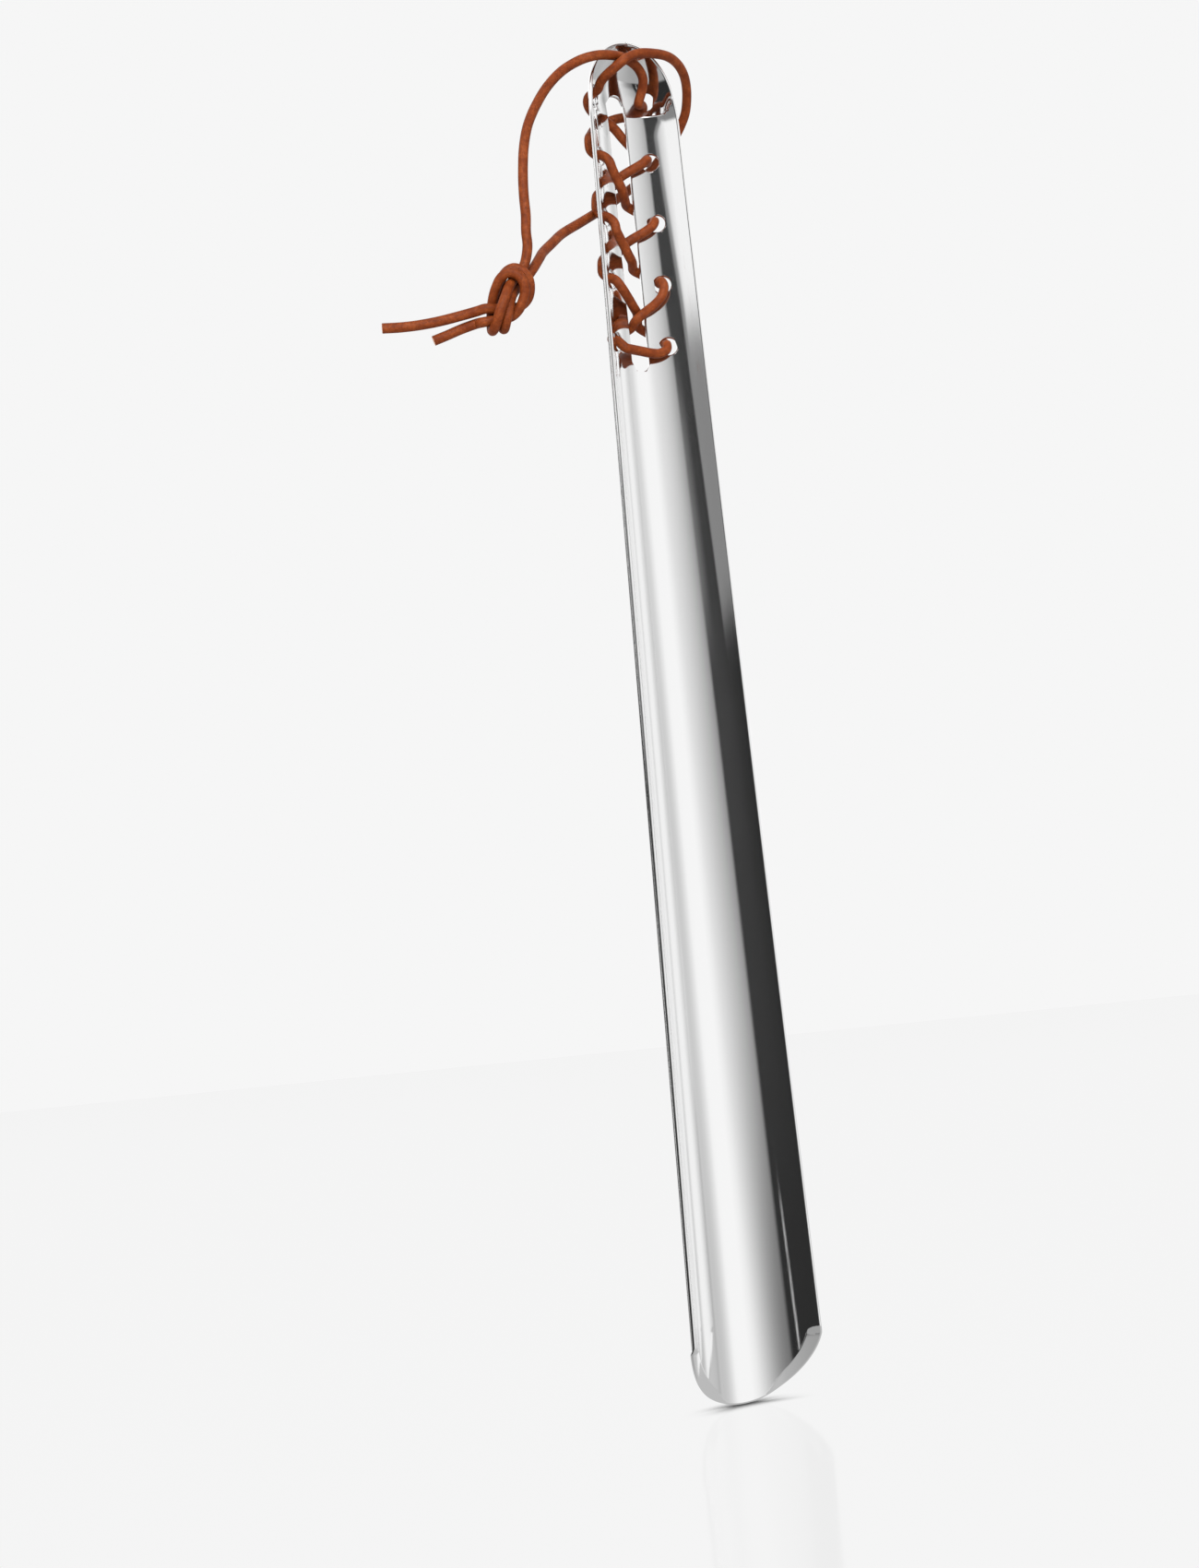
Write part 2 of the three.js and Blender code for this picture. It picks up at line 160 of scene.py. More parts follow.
UNDER_2 = (
    (8.9, -0.7, -1), (7.7, 0.5, -2), (4.8, 2.1, -2.4), (1.4, 3.7, -2), (-0.6, 4.8, -1.2),
    (-1.4, 5.6, 0), (-1.4, 6.5, 1.5), (-2.3, 7.4, 2.9), (-4.8, 9, 3.2), (-7.6, 10.8, 3),
    (-9.6, 12.6, 2.8), (-10.4, 14.8, 2.8), (-10.3, 17.2, 2.9), (-10, 18.6, 2),
)
OVER_3 = (
    (-9.6, 0.6, -1), (-9.8, 2.6, -2.5), (-9.6, 5, -2.8), (-8, 6.8, -3), (-5.4, 9.2, -3),
    (-3, 11.5, -2.6), (-0.3, 13, -1.1), (0.9, 13.7, 0.6), (1.9, 14.3, 2.3), (5, 15.7, 2.9),
    (8, 17.6, 2.8), (9.3, 18.9, 1.9),
)
UNDER_3 = (
    (9.3, -0.4, -1), (8.4, 1.3, -2), (5.8, 3.1, -2.4), (2.6, 4.6, -2), (0.2, 5.8, -1.3),
    (-1.2, 6.8, -0.1), (-1.4, 7.8, 1.4), (-2.2, 8.7, 2.9), (-5, 10.4, 3.2), (-8, 12, 3),
    (-9.9, 13.6, 2.8), (-10.5, 15.6, 2.8), (-10.3, 17.4, 2.9), (-10, 18.7, 2),
)
OVER_4 = (
    (9.5, -0.8, -1), (10.2, 1.4, -2), (9.1, 4.4, -2.3), (5.9, 7.3, -2.7), (2.3, 9.5, -3),
    (-0.4, 11.2, -2.8), (-1.5, 12.6, -1), (-1.3, 13.6, 0.8), (-2, 14.4, 2.5), (-5, 15.8, 3),
    (-8.2, 17.6, 2.8), (-9.8, 19.2, 1.9),
)
UNDER_4 = (
    (-9.6, 0.6, -1), (-8.9, 2.8, -2.3), (-5.1, 5.7, -2.4), (-1.9, 7.9, -1.5), (0.4, 9.4, -0.1),
    (1.1, 11.2, 1.4), (1.9, 12.8, 2.6), (5, 14.8, 3), (8, 17.2, 2.8), (9.3, 18.9, 1.9),
)
BAR = (
    (9.2, -0.2, -1), (8.8, 1.7, -2), (6.3, 2.9, -2.6), (3.4, 3.1, -3.1), (-2.2, 2.7, -3.2),
    (-6.7, 2.6, -2.8), (-9.4, 2.5, -2.2), (-9.7, 1.2, -1),
)
RIGHT_HOLE = ((8.9, -0.7, 0.6),)
LEFT_HOLE = ((-9.7, -0.5, 0.6),)
RIGHT_START = ((9.0, 0.7, 0.4),)
LEFT_START = ((-9.7, -0.5, 0.5),)

# The two free strands, from the hole that each one leaves, through the knot, to its cut end
RIGHT_STRAND = (
    (6.2, 6.9, 43.2), (6.1, 5.6, 44.7), (6.3, 4.1, 46.9), (5.8, 2.5, 49.4), (3.7, 1.2, 51.7),
    (0.7, 0.2, 53.1), (-4.1, -1, 53.7), (-10.3, -2.2, 52.9), (-15, -2.4, 51.8), (-19.1, -0.9, 50.5),
    (-25.7, -0.6, 46.3), (-31.6, -0.8, 40.6), (-36.9, -1.6, 33.6), (-41.4, -2.6, 25.9),
    (-44.2, -3.7, 18.4), (-46, -4.7, 10), (-46.7, -5, 2.7), (-46.7, -5, -4.1),
)
RIGHT_KNOT = (
    (-46.9, -4.6, -9), (-46.6, -4.1, -13.5), (-47.6, -2.8, -18.9), (-49.2, -2.2, -21.2),
    (-51.1, -2.4, -23.2), (-53, -3.4, -25.1), (-54.7, -4.4, -27.2), (-56.1, -5, -29.6),
    (-57.3, -4.9, -32.1), (-58.2, -4.1, -34.6), (-58.5, -2.5, -37), (-58.3, -0.2, -38.5),
    (-57.6, 2.4, -38.2), (-56.9, 3.6, -35.8), (-56.8, 3.3, -32.9), (-56.9, 2.3, -30.4),
    (-57, 0.7, -28), (-56.8, -1.1, -25.8), (-56.2, -3, -23.8), (-54.6, -5, -22.6),
    (-52.5, -6.4, -23.4), (-50.8, -6.8, -25.7), (-50.2, -6.2, -28.3), (-50.5, -5, -30.8),
    (-51.2, -3.4, -33), (-52.7, -1.5, -34.6), (-55.1, -0.1, -35.2), (-57.8, 0.7, -35.6),
)
SHORT_TAIL = (
    (-60.9, 2.2, -36), (-61.4, 4.2, -35.7), (-65.8, 6, -37.2), (-70.1, 7.8, -39),
    (-73.5, 9.6, -40.3),
)
LEFT_STRAND = (
    (-9, 6.2, 45.6), (-9.3, 4.2, 46.7), (-9.1, 2.4, 47.5), (-8.4, 0.3, 48.4), (-7.1, -1.9, 49.6),
    (-4.8, -4, 51.5), (-0.5, -4.3, 53.8), (5.5, -3.7, 55.2), (13, -2, 56), (18.7, 0.8, 55.4),
    (22.8, 3.8, 53.5), (25.4, 6.8, 51.1), (26.9, 9.5, 48), (27.6, 12, 45), (27, 14.4, 41.6),
    (25.4, 16.6, 38), (20.9, 18.8, 31.7), (17.3, 19.5, 27.5), (12.9, 19.6, 23.6), (8.2, 19, 19.9),
    (3.3, 17.9, 16.4), (-0.8, 16.6, 13.6), (-5.8, 15, 10.2), (-10.6, 13.3, 7.1), (-17.7, 10.8, 2.6),
    (-26.4, 8, -2.9), (-32.2, 5, -7.6),
)
LEFT_KNOT = (
    (-37.4, 2.4, -12), (-40.3, 0.1, -15), (-43.8, -1.6, -19.1), (-47.4, -1.1, -23.5),
    (-49.5, -1.1, -25.4), (-51.5, -1.9, -27.3), (-53.1, -2.9, -29.4), (-54.3, -3.5, -31.9),
    (-55.1, -3.5, -34.6), (-55.4, -2.4, -37.1), (-54.8, -0, -38.2), (-54.1, 2.2, -36.8),
    (-53.7, 3, -34.1), (-53.7, 3, -31.3), (-54.1, 2.5, -28.5), (-54.4, 1.4, -25.9),
    (-54.4, -0, -23.4), (-53.7, -1.9, -21.4), (-52, -4, -20.6), (-49.9, -5.4, -21.8),
    (-48.2, -5.6, -24.1), (-47.6, -5, -26.7), (-47.8, -3.6, -29.3), (-49.1, -1.8, -31),
    (-51.5, -0.4, -31.8), (-54.3, -0.1, -32.1), (-57.1, -0.1, -32.3),
)
LONG_TAIL = (
    (-60.3, 0.5, -32.3), (-62.1, 2.4, -32.6), (-66.5, 4, -33.8), (-70.9, 5.6, -34.9),
    (-75.2, 7.2, -35.8), (-79.5, 9, -36.4), (-83.6, 10.8, -36.7), (-88.4, 13, -36.7),
)


def make_camera():
    data = bpy.data.cameras.new("camera")
    data.sensor_width = SENSOR
    data.lens = LENS
    camera = bpy.data.objects.new("camera", data)
    turn = Matrix.Rotation(math.radians(CAMERA_TURN), 4, "Z")
    tilt = Matrix.Rotation(math.radians(90 + CAMERA_TILT), 4, "X")
    roll = Matrix.Rotation(math.radians(CAMERA_ROLL), 4, "Z")
    camera.matrix_world = Matrix.Translation(CAMERA_PLACE) @ turn @ tilt @ roll
    bpy.context.scene.collection.objects.link(camera)
    bpy.context.scene.camera = camera


# The sheet's shape. All of these take numpy arrays, in millimetres.


def smoothstep(value, low, high):
    t = np.clip((value - low) / (high - low), 0, 1)
    return t * t * (3 - 2 * t)


def closing(z, start, power):
    """How much of its full size a dimension has as it closes, rounded, towards the top."""
    share = np.clip((z - start) / (INNER_TOP - start), 0, 1)
    return (1 - share**power) ** (1 / power)


def section(z):
    """The section at a height: an arc about the middle, with a straight side at each end of it.

    Gives the depth, the arc's radius, half its angle, and the length from the middle to the rim.
    """
    down = np.clip(TOP - z, 0, None) / LENGTH
    widened = HANDLE_HALF + (TIP_HALF - HANDLE_HALF) * down**WIDENING
    half = np.maximum(THINNEST, widened * closing(z, DOME_START, DOME_POWER))
    depth = np.maximum(THINNEST, DEPTH * closing(z, DISH_START + DISH_RAMP, DISH_POWER))
    whole = 2 * np.arctan(depth / half)
    angle = np.minimum(whole, STEEPEST)
    steep_radius = (half - depth / math.tan(STEEPEST)) / math.tan(STEEPEST / 2)
    radius = np.where(whole > STEEPEST, steep_radius, (half**2 + depth**2) / (2 * depth))
    side = np.where(whole > STEEPEST, (depth - radius * (1 - np.cos(angle))) / np.sin(angle), 0)
    return depth, radius, angle, radius * angle + side


def lip_rise(x, z):
    """How much further out the sheet lies in the flare along the tip's outline."""
    up = (ROUND_TOP - z) / TIP_ROUND
    start = LIP + (1 - LIP) * (1 - smoothstep(np.abs(x), *LIP_FADE))
    level = np.hypot(x / OUTLINE_HALF, np.clip(up, 0, None)) - start
    bend = np.clip(level + LIP_BLEND, 0, None) ** 2 / (4 * LIP_BLEND)
    ramp = np.where(level > LIP_BLEND, level, bend)
    return ramp / (1 - LIP) * LIP_RISE * smoothstep(up, *LIP_TOP)


def dish_step(to_rim, z):
    """How much further out the dished end's sheet lies, from a crease that rises close to the rims."""
    start = DISH_START + DISH_RISE * (1 - smoothstep(to_rim, 0, DISH_RISE_OVER))
    t = np.clip((z - start) / DISH_RAMP, 0, 1)
    return DISH_STEP * t * (2 - t)


def turn_and_beyond(across, z):
    """The arc's angle at a distance from the middle, and the distance along the straight side."""
    _, radius, angle, _ = section(z)
    along = np.minimum(np.abs(across), radius * angle)
    return along / radius, np.abs(across) - along


def wall_point(across, z, out=0.0):
    """A point of the sheet: distance from the middle along the section, height, distance out."""
    across, z = np.asarray(across, float), np.asarray(z, float)
    depth, radius, _, length = section(z)
    turn, beyond = turn_and_beyond(across, z)
    bare = radius * np.sin(turn) + beyond * np.cos(turn)
    reach = out + lip_rise(bare, z) + dish_step(length - np.abs(across), z)
    x = bare + reach * np.sin(turn)
    y = depth - radius * (1 - np.cos(turn)) - beyond * np.sin(turn) + reach * np.cos(turn)
    return np.stack([np.where(across < 0, -x, x), y, z + 0 * x], -1)


# The flat pattern of the sheet. A point of it is (across, up): the distance from the middle along the
# section, and the height, which is stretched along the closing end.


def height_of(up):
    """The height in space of a height on the pattern."""
    t = np.clip((up - DOME_START) / DOME_SPINE, 0, 1)
    return np.where(up > DOME_START, DOME_START + DOME * np.sin(t * math.pi / 2), up)


def up_of(z):
    """The height on the pattern of a height in space."""
    t = np.clip((z - DOME_START) / DOME, 0, 1)
    return np.where(z > DOME_START, DOME_START + DOME_SPINE * np.arcsin(t) * 2 / math.pi, z)


def from_pattern(flat):
    """Points of the sheet's inner face in space."""
    return wall_point(flat[..., 0], height_of(flat[..., 1]))


def pattern_normal(flat):
    """Unit normals out of the trough at points of the flat pattern."""
    across, up = flat[..., 0], flat[..., 1]
    z = height_of(up)
    turn, _ = turn_and_beyond(across, z)
    along = wall_point(across + NUDGE, z) - wall_point(across - NUDGE, z)
    high = np.minimum(up + 2 * NUDGE, DOME_START + DOME_SPINE - NUDGE / 100)
    low = high - 4 * NUDGE
    share = across / section(z)[3]
    upper = wall_point(share * section(height_of(high))[3], height_of(high))
    lower = wall_point(share * section(height_of(low))[3], height_of(low))
    normal = np.cross(upper - lower, along)
    normal /= np.maximum(np.linalg.norm(normal, axis=-1, keepdims=True), 1e-12)
    outward = np.stack([np.sign(across) * np.sin(turn), np.cos(turn), 0.2 + 0 * turn], -1)
    return normal * np.where(np.sum(normal * outward, -1, keepdims=True) < 0, -1, 1)


def rim(up):
    """The distance from the middle to the rim."""
    return section(height_of(up))[3]


def across_at(x, z):
    """The distance along the section of the point that lies at x."""
    length = section(z)[3]
    low, high = 0 * x, length * WIDER + 0 * x
    for _ in range(HALVINGS):
        middle = (low + high) / 2
        short = wall_point(middle, z)[..., 0] < np.abs(x)
        low, high = np.where(short, middle, low), np.where(short, high, middle)
    return np.sign(x) * low


def tip_edge(turn):
    """Points of the tip's cut outline in the flat pattern, for angles from 0, right, to pi, left."""
    z = ROUND_TOP - TIP_ROUND * np.sin(turn)
    return np.stack([across_at(OUTLINE_HALF * np.cos(turn), z), z], -1)


def outline():
    """The sheet's edge in the flat pattern, anticlockwise from the right end of the tip's curve."""
    turns = np.linspace(0, math.pi, TIP_POINTS)
    tip = tip_edge(turns)
    tip = tip[np.abs(tip[:, 0]) < rim(tip[:, 1])]
    corner = tip[0, 1]
    top = DOME_START + DOME_SPINE
    straight = np.arange(corner + RIM_GAPS[0], DOME_START - RIM_GAPS[1], RIM_STEP)
    dished = DOME_START + DOME_SPINE * np.sin(np.linspace(0, math.pi / 2, DISH_POINTS))[:-1]
    ups = np.concatenate([straight, dished])
    right = np.stack([rim(ups), ups], -1)
    left = right[::-1] * (-1, 1)
    tip = tip[np.argsort(tip[:, 0])]
    return np.concatenate([tip, right, [[0, top]], left])


def slot_edge():
    """The slot's edge in the flat pattern, anticlockwise."""
    r = SLOT_WIDTH / 2
    turns = np.linspace(0, math.pi, SLOT_END_POINTS)
    top = np.stack([r * np.cos(turns), SLOT_TOP - r + r * np.sin(turns)], -1)
    bottom = np.stack([-r * np.cos(turns), SLOT_BOTTOM + r - r * np.sin(turns)], -1)
    down = np.arange(SLOT_TOP - r - SLOT_STEP, SLOT_BOTTOM + r + SLOT_STEP / 2, -SLOT_STEP)
    left = np.stack([0 * down - r, down], -1)
    loop = np.concatenate([top, left, bottom, left[::-1] * (-1, 1)])
    return np.stack([across_at(loop[:, 0], loop[:, 1]), up_of(loop[:, 1])], -1)


def hole_edge(side, z):
    """A round hole's edge in the flat pattern, anticlockwise."""
    turns = np.linspace(0, 2 * math.pi, HOLE_POINTS)[:-1]
    across = side * HOLE_ARC + HOLE / 2 * np.cos(turns)
    return np.stack([across, up_of(z + HOLE / 2 * np.sin(turns))], -1)


def into_sheet(loop):
    """Directions from each point of an anticlockwise loop to its left."""
    ahead = np.roll(loop, -1, 0) - loop
    ahead /= np.linalg.norm(ahead, axis=1, keepdims=True)
    left = np.stack([-ahead[:, 1], ahead[:, 0]], -1)
    both = left + np.roll(left, 1, 0)
    both /= np.linalg.norm(both, axis=1, keepdims=True)
    return both / np.maximum(np.sum(both * left, -1, keepdims=True), SHARPEST)


def crease_lines():
    """Lines of points on the pattern that follow the lip."""
    lines = []
    for level in CREASE_LEVELS:
        turns = np.linspace(CREASE_ENDS, math.pi - CREASE_ENDS, CREASE_POINTS)
        z = ROUND_TOP - TIP_ROUND * level * np.sin(turns)
        lines.append(np.stack([across_at(level * OUTLINE_HALF * np.cos(turns), z), z], -1))
    return lines


def tip_level(points):
    """How far out points of the pattern lie in the tip: 0 at its middle, 1 on its outline."""
    x = wall_point(points[:, 0], height_of(points[:, 1]))[:, 0]
    return np.hypot(x / OUTLINE_HALF, np.clip((ROUND_TOP - points[:, 1]) / TIP_ROUND, 0, None))


def fill_points(loops, lines):
    """Points spread over the sheet, clear of its edges and of the lip's lines."""
    rows = np.concatenate([
        np.arange(TIP + FINE_ROW, FINE_TO, FINE_ROW),
        np.arange(FINE_TO + FINE_ROW, DOME_START, COARSE_ROW),
        np.arange(DOME_START, DOME_START + DOME_SPINE - FINE_ROW / 2, FINE_ROW),
    ])
    points = []
    for k, up in enumerate(rows):
        width = float(rim(np.asarray(up)))
        count = max(2, int(2 * width / POINT_STEP))
        shift = 0.75 if k % 2 else 0.25
        across = (np.arange(count) + shift) / count * 2 * width - width
        points.append(np.stack([across, 0 * across + up], -1))
    points = np.concatenate(points)
    tip = points[:, 1] < ROUND_TOP
    level = tip_level(points)
    at_top = (points[:, 1] > ROUND_TOP - PLAIN_TOP * TIP_ROUND) & (level < TIP_OUTSIDE)
    keep = ~tip | (level < PLAIN_BELOW) | at_top
    keep &= np.abs(points[:, 0]) < rim(points[:, 1]) - CLEAR_OF_RIM
    for loop in loops:
        low, high = loop.min(0) - 1, loop.max(0) + 1
        near = keep & np.all((points > low) & (points < high), axis=1)
        index = np.nonzero(near)[0]
        if not len(index):
            continue
        gap = np.linalg.norm(points[index, None] - loop[None], axis=2).min(1)
        keep[index[gap < CLEAR_OF_EDGE]] = False
    for line in lines:
        index = np.nonzero(tip & keep)[0]
        gap = np.linalg.norm(points[index, None] - line[None], axis=2).min(1)
        keep[index[gap <= CLEAR_OF_CREASE]] = False
    return points[keep]


def in_opening(points):
    """Which points of the pattern lie in the slot or in a hole."""
    place = from_pattern(points)
    z = place[:, 2]
    r = SLOT_WIDTH / 2
    middle = np.clip(z, SLOT_BOTTOM + r, SLOT_TOP - r)
    inside = np.hypot(place[:, 0], z - middle) < r
    for row in range(HOLE_ROWS):
        for side in (-1, 1):
            across, height = side * HOLE_ARC, HOLE_TOP - row * PITCH
            inside |= np.hypot(points[:, 0] - across, z - height) < HOLE / 2
    return inside


def edge_profile():
    """The rows of the rounded edge, from the inner face to the outer one: how far in from the cut,
    how far through the sheet, and the shares of its normal through the sheet and out over the cut."""
    rows = []
    for degrees in EDGE_TURNS:
        away, through = math.sin(math.radians(degrees)), math.cos(math.radians(degrees))
        rows.append((EDGE_ROUND * (1 - away), EDGE_ROUND * (1 - through), -through, away))
    return rows + [(inset, SHEET - depth, -face, away) for inset, depth, face, away in rows[::-1]]


def sheet_triangles(loops, insets):
    """The flat pattern as triangles inside the inset loops: its points, the triangles, and the number
    of the point that each loop point became."""
    flat, edges = [], []
    for loop in insets:
        first = len(flat)
        flat.extend(loop.tolist())
        edges.extend((first + i, first + (i + 1) % len(loop)) for i in range(len(loop)))
    lines = crease_lines()
    for line in lines:
        gap = np.linalg.norm(line[:, None] - insets[0][None], axis=2).min(1)
        within = rim(line[:, 1]) - EDGE_ROUND - CREASE_CLEAR_OF_RIM
        keep = (gap > CREASE_CLEAR_OF_EDGE) & (np.abs(line[:, 0]) < within)
        for i in np.nonzero(keep)[0]:
            flat.append(line[i].tolist())
            if i + 1 < len(line) and keep[i + 1]:
                edges.append((len(flat) - 1, len(flat)))
    filled = fill_points(loops, lines)
    flat.extend(filled[~in_opening(filled)].tolist())

    result = delaunay_2d_cdt([Vector(p) for p in flat], edges, [], 1, 1e-5, True)
    joined, _, cells, origins, _, _ = result
    points = np.array([tuple(v) for v in joined])
    number = {old: new for new, olds in enumerate(origins) for old in olds}
    triangles = np.array([list(cell) for cell in cells])
    triangles = triangles[~in_opening(points[triangles].mean(1))]
    a, b, c = (points[triangles[:, i]] for i in range(3))
    area = (b - a)[:, 0] * (c - a)[:, 1] - (b - a)[:, 1] * (c - a)[:, 0]
    triangles[area < 0] = triangles[area < 0][:, ::-1]
    return points, triangles, number


def steel_mesh(places, normals, uvs, faces):
    mesh = bpy.data.meshes.new("steel_sheet")
    mesh.from_pydata((places * MM).tolist(), [], faces)
    layer = mesh.uv_layers.new(name="sheet")
    corner = np.zeros(len(mesh.loops), int)
    mesh.loops.foreach_get("vertex_index", corner)
    layer.data.foreach_set("uv", (uvs * MM)[corner].ravel())
    mesh.polygons.foreach_set("use_smooth", [True] * len(mesh.polygons))
    normals = normals / np.maximum(np.linalg.norm(normals, axis=1, keepdims=True), 1e-9)
    mesh.normals_split_custom_set_from_vertices(normals.tolist())
    return mesh


def make_steel():
    holes = [slot_edge()]
    for k in range(HOLE_ROWS):
        for side in (-1, 1):
            holes.append(hole_edge(side, HOLE_TOP - k * PITCH))
    loops = [outline()] + [hole[::-1] for hole in holes]
    insets = [loop + into_sheet(loop) * EDGE_ROUND for loop in loops]
    points, triangles, number = sheet_triangles(loops, insets)

    # The two faces
    inner = from_pattern(points)
    normal = pattern_normal(points)
    count = len(points)
    places = [inner, inner + SHEET * normal]
    normals = [-normal, normal]
    uvs = [points, points]
    faces = [tuple(t) for t in triangles.tolist()]
    faces += [tuple(t[::-1] + count) for t in triangles]

    # The rounded edges between them
    total = 2 * count
    start = 0
    for loop, inset in zip(loops, insets):
        size = len(loop)
        rows = [[number[start + i] for i in range(size)]]
        across = into_sheet(loop)
        base = pattern_normal(loop)
        inward = from_pattern(inset) - from_pattern(loop)
        inward /= np.maximum(np.linalg.norm(inward, axis=1, keepdims=True), 1e-9)
        for inset_by, through, face, out in edge_profile()[1:-1]:
            places.append(from_pattern(loop + across * inset_by) + base * through)
            normals.append(base * face - inward * out)
            uvs.append(loop)
            rows.append(list(range(total, total + size)))
            total += size
        rows.append([count + first for first in rows[0]])
        for low, high in zip(rows, rows[1:]):
            for i in range(size):
                j = (i + 1) % size
                faces.append((low[j], low[i], high[i], high[j]))
        start += size

    mesh = steel_mesh(*(np.concatenate(part) for part in (places, normals, uvs)), faces)
    steel = bpy.data.objects.new("steel_sheet", mesh)
    bpy.context.scene.collection.objects.link(steel)
    return steel


# The lace


def on_wall(way, row):
    """A way along the sheet, from the row of holes with that number, as points in space."""
    start = HOLE_TOP - (row - 1) * PITCH
    return [wall_point(across, start - drop, out) for across, drop, out in way]


def grip_points():
    return [
        *on_wall(RIGHT_START, 1), *on_wall(FAR_BEHIND, 1),
        *on_wall(LEFT_HOLE, 2), *on_wall(OVER_2, 2),
        *on_wall(RIGHT_HOLE, 3), *on_wall(UNDER_3, 3),
        *on_wall(LEFT_HOLE, 4), *on_wall(UNDER_4, 4),
        *on_wall(RIGHT_HOLE, 5), *on_wall(BAR, 5),
        *on_wall(LEFT_HOLE, 5), *on_wall(OVER_4[::-1], 4),
        *on_wall(RIGHT_HOLE, 4), *on_wall(OVER_3[::-1], 3),
        *on_wall(LEFT_HOLE, 3), *on_wall(UNDER_2[::-1], 2),
        *on_wall(RIGHT_HOLE, 2), *on_wall(NEAR_BEHIND[::-1], 1),
        *on_wall(LEFT_START, 1),
    ]


def smooth_line(points):
    """A centripetal Catmull-Rom line through the points, in short straight parts."""
    p = np.array(points, float)
    p = np.concatenate([[2 * p[0] - p[1]], p, [2 * p[-1] - p[-2]]])
    line = []
    for i in range(1, len(p) - 2):
        p0, p1, p2, p3 = p[i - 1 : i + 3]
        pairs = (p0, p1), (p1, p2), (p2, p3)
        d0, d1, d2 = (max(np.linalg.norm(b - a) ** 0.5, 1e-4) for a, b in pairs)
        m1 = ((p1 - p0) / d0 - (p2 - p0) / (d0 + d1) + (p2 - p1) / d1) * d1
        m2 = ((p2 - p1) / d1 - (p3 - p1) / (d1 + d2) + (p3 - p2) / d2) * d1
        t = np.linspace(0, 1, LINE_PARTS + 1)[:-1, None]
        line.append((2 * t**3 - 3 * t**2 + 1) * p1 + (t**3 - 2 * t**2 + t) * m1
                    + (-2 * t**3 + 3 * t**2) * p2 + (t**3 - t**2) * m2)
    line.append(p[-2][None])
    return np.concatenate(line)


def even_steps(line):
    """The same line in equal straight parts of about the lace's step."""
    length = np.concatenate([[0], np.cumsum(np.linalg.norm(np.diff(line, axis=0), axis=1))])
    count = max(2, int(round(length[-1] / LACE_STEP)))
    wanted = np.linspace(0, length[-1], count + 1)
    return np.stack([np.interp(wanted, length, line[:, k]) for k in range(3)], -1)


def lace_rings(centres):
    """A frame for each point of the whole lace, turned as little as possible along it."""
    ahead = np.gradient(centres, axis=0)
    ahead /= np.linalg.norm(ahead, axis=1, keepdims=True)
    side = np.cross(ahead[0], SIDE_AT_START)
    sides = []
    for direction in ahead:
        side = side - direction * np.dot(side, direction)
        side /= np.linalg.norm(side)
        sides.append(side)
    sides = np.array(sides)
    return ahead, sides, np.cross(ahead, sides)


def make_lace(name, centres, ahead, sides, ups, begin, cut_start=False, cut_end=False):
    """A round lace of slightly uneven thickness. A cut end is a nearly flat face of its own material."""
    n = LACE_SIDES
    turns = np.linspace(0, 2 * math.pi, n + 1)
    gone = np.cumsum(np.linalg.norm(np.diff(centres, axis=0), axis=1))
    distance = begin + np.concatenate([[0], gone])
    places, faces, uvs, material = [], [], [], []

    def away(i, j):
        return LACE / 2 * (math.cos(turns[j]) * sides[i] + math.sin(turns[j]) * ups[i])

    for i, centre in enumerate(centres):
        swell = 1 + SWELL * noise.noise(Vector((SWELL_OFTEN * distance[i], *SWELL_SEED)))
        for j, turn in enumerate(turns[:-1]):
            spot = Vector((UNEVEN_OFTEN * distance[i], math.cos(turn), math.sin(turn)))
            places.append(centre + (swell + UNEVEN * noise.noise(spot)) * away(i, j))
    for i in range(len(centres) - 1):
        for j in range(n):
            k = (j + 1) % n
            faces.append((i * n + j, i * n + k, (i + 1) * n + k, (i + 1) * n + j))
            corners = (i, j), (i, j + 1), (i + 1, j + 1), (i + 1, j)
            uvs.append([(distance[a], turns[b] / (2 * math.pi)) for a, b in corners])
            material.append(0)

    def close(at, face, slot):
        """A face of the end at that point of the line, turned out of the lace."""
        faces.append(face if at else face[::-1])
        uvs.append([(distance[at], 0.5)] * len(face))
        material.append(slot)

    for at, cut in ((0, cut_start), (len(centres) - 1, cut_end)):
        ring = [at * n + j for j in range(n)]
        beyond = ahead[at] if at else -ahead[at]
        for share, by in CUT_RINGS if cut else ():
            inner = list(range(len(places), len(places) + n))
            places.extend(centres[at] + share * away(at, j) + by * beyond for j in range(n))
            for j in range(n):
                k = (j + 1) % n
                close(at, (ring[j], ring[k], inner[k], inner[j]), int(share == CUT_RINGS[-1][0]))
            ring = inner
        middle = len(places)
        places.append(centres[at] + (CUT_MIDDLE if cut else 0) * beyond)
        for j in range(n):
            close(at, (ring[j], ring[(j + 1) % n], middle), int(cut))

    mesh = bpy.data.meshes.new(name)
    mesh.from_pydata((np.array(places) * MM).tolist(), [], faces)
    layer = mesh.uv_layers.new(name="lace")
    layer.data.foreach_set("uv", [c for face in uvs for along, about in face for c in (along * MM, about)])
    mesh.polygons.foreach_set("use_smooth", [True] * len(mesh.polygons))
    mesh.polygons.foreach_set("material_index", material)
    lace = bpy.data.objects.new(name, mesh)
    bpy.context.scene.collection.objects.link(lace)
    return lace


